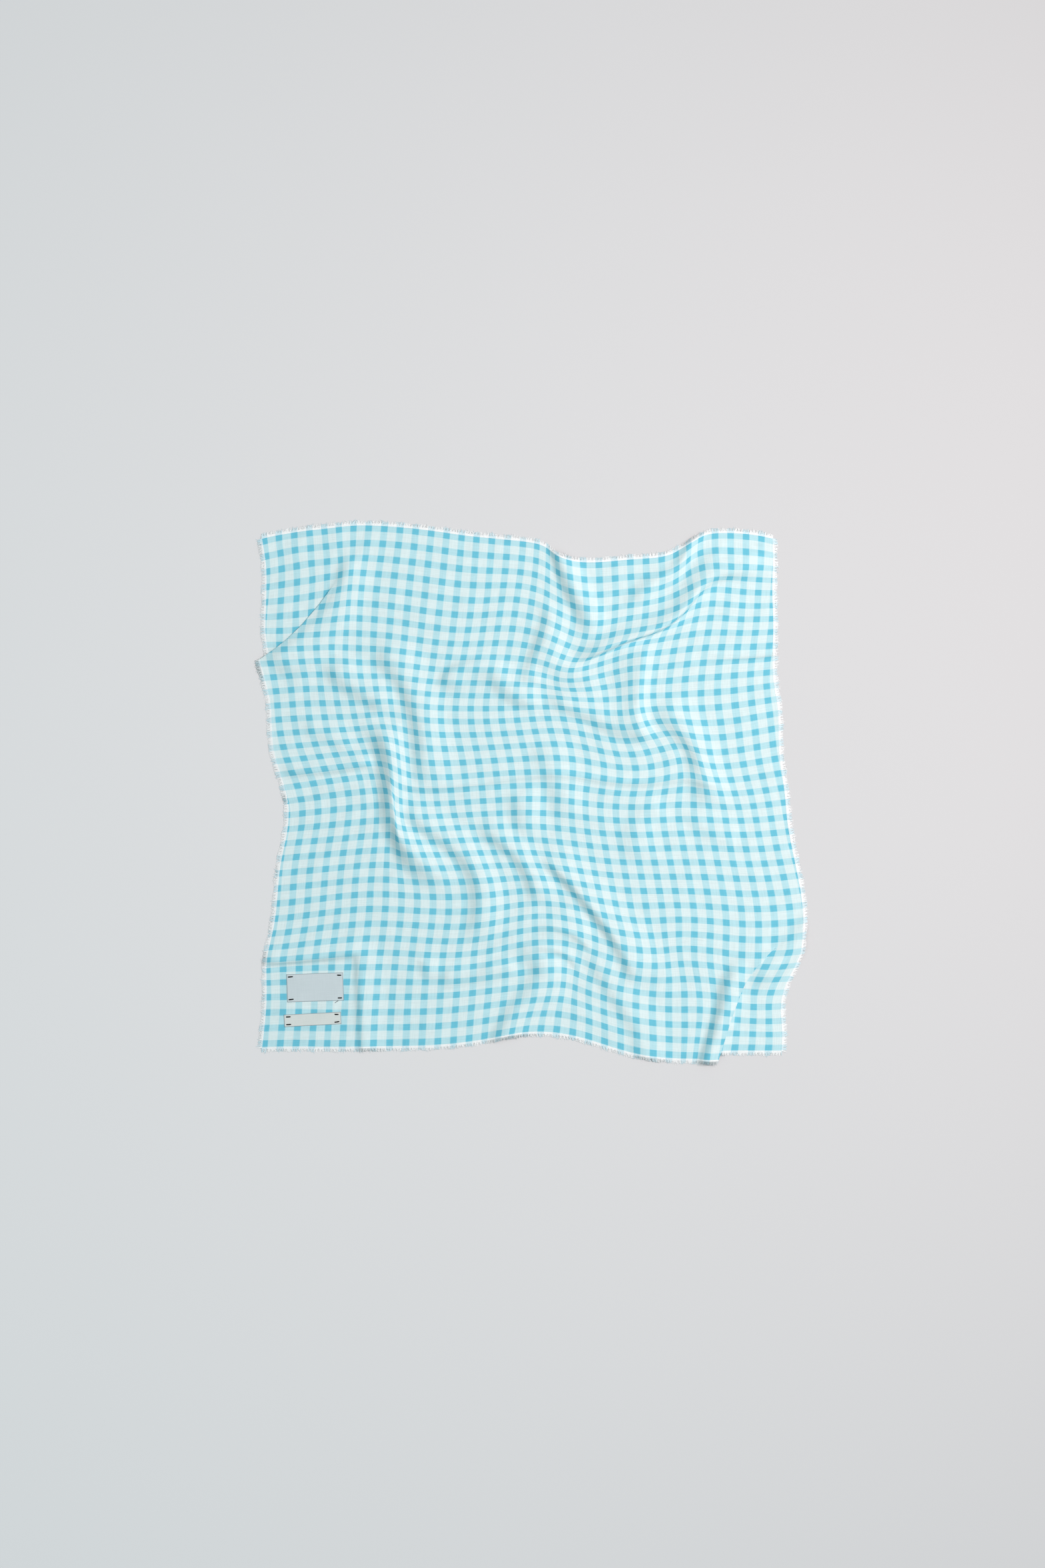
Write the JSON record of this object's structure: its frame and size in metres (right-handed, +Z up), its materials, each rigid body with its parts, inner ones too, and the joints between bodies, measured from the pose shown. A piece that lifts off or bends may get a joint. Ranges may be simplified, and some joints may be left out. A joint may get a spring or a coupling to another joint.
{
  "type": "square gingham scarf, laid open and rumpled",
  "caption": "Square gingham scarf of thin cotton with a short frayed edge and bare sewn labels, laid open on a flat surface and softly rumpled.",
  "frame": {"origin": "bottom centre of the box around the scarf, on the surface it rests on", "axes": "+Z up from the surface; +X to the right and +Y away from the labelled hem, as the scarf is seen from straight above"},
  "size_m": [0.7018, 0.6892, 0.0211],
  "materials": {
    "scarf_cloth": "matte, thin woven cotton in aqua and white gingham",
    "label_large": "matte woven ribbon, pale grey-blue",
    "label_small": "matte woven ribbon, off-white",
    "fray_top": "loose white and pale blue threads",
    "fray_right": "loose white and pale blue threads",
    "fray_bottom": "loose white and pale blue threads",
    "fray_left": "loose white and pale blue threads"
  },
  "bodies": {
    "root": {"scarf_cloth": "scarf_cloth", "label_large": "label_large", "label_small": "label_small", "fray_top": "fray_top", "fray_right": "fray_right", "fray_bottom": "fray_bottom", "fray_left": "fray_left"}
  },
  "joints": []
}
